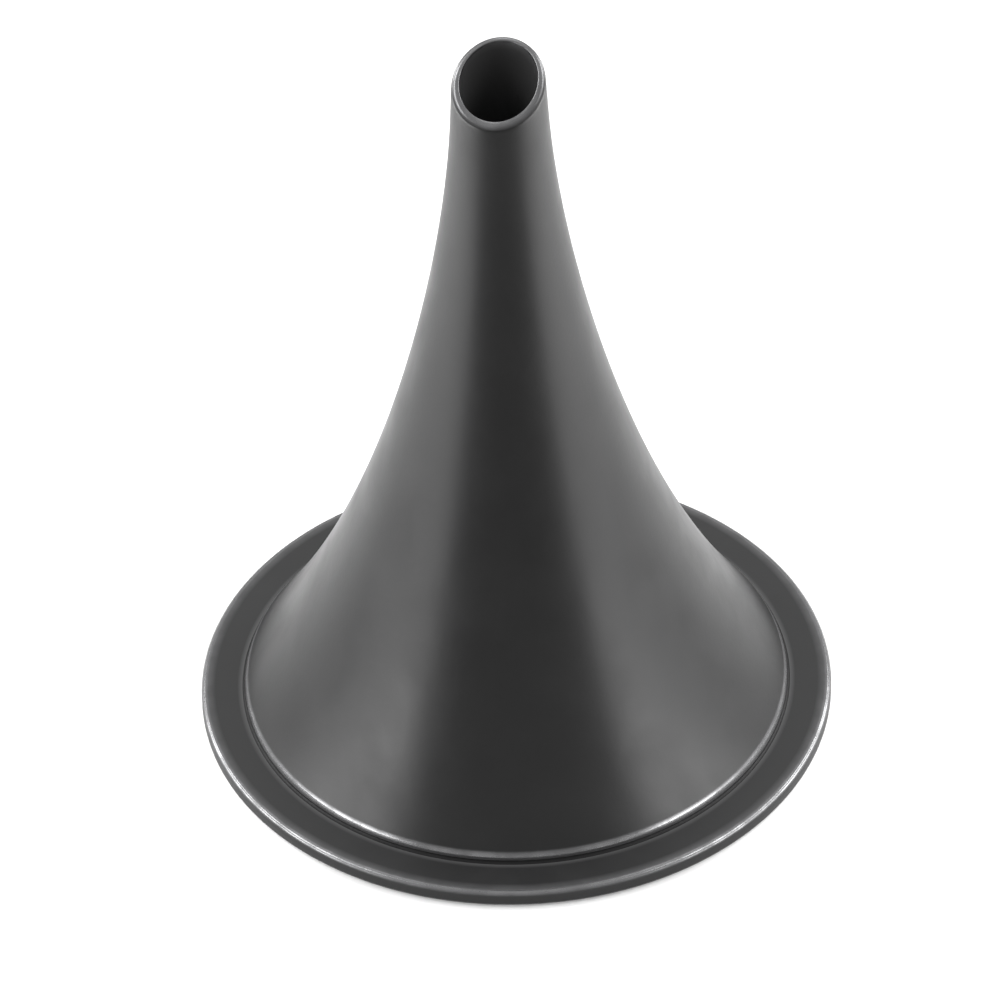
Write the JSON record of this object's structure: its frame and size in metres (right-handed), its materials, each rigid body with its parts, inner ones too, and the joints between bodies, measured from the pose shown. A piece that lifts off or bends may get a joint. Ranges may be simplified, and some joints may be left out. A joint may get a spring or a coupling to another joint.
{
  "type": "ear speculum",
  "caption": "Black trumpet-shaped ear speculum: a thin flared funnel with an obliquely cut tip, soldered into a flat round rim ring that it stands on.",
  "frame": {"origin": "centre of the rim ring's underside, where the speculum's axis meets the face it stands on", "axes": "+Z along the speculum's axis, from the wide mouth towards the tip; the high side of the slanted opening points 75 degrees from +X towards +Y; -Y faces the picture's camera"},
  "size_m": [0.033, 0.033, 0.0415],
  "materials": {
    "black_funnel": "satin black, fine blasted grain",
    "black_ring": "satin black, fine blasted grain, bright worn edge",
    "black_solder": "blackened solder, slightly glossier"
  },
  "bodies": {
    "root": {"funnel": "black_funnel", "rim_ring": "black_ring", "solder_seam": "black_solder"}
  },
  "joints": []
}
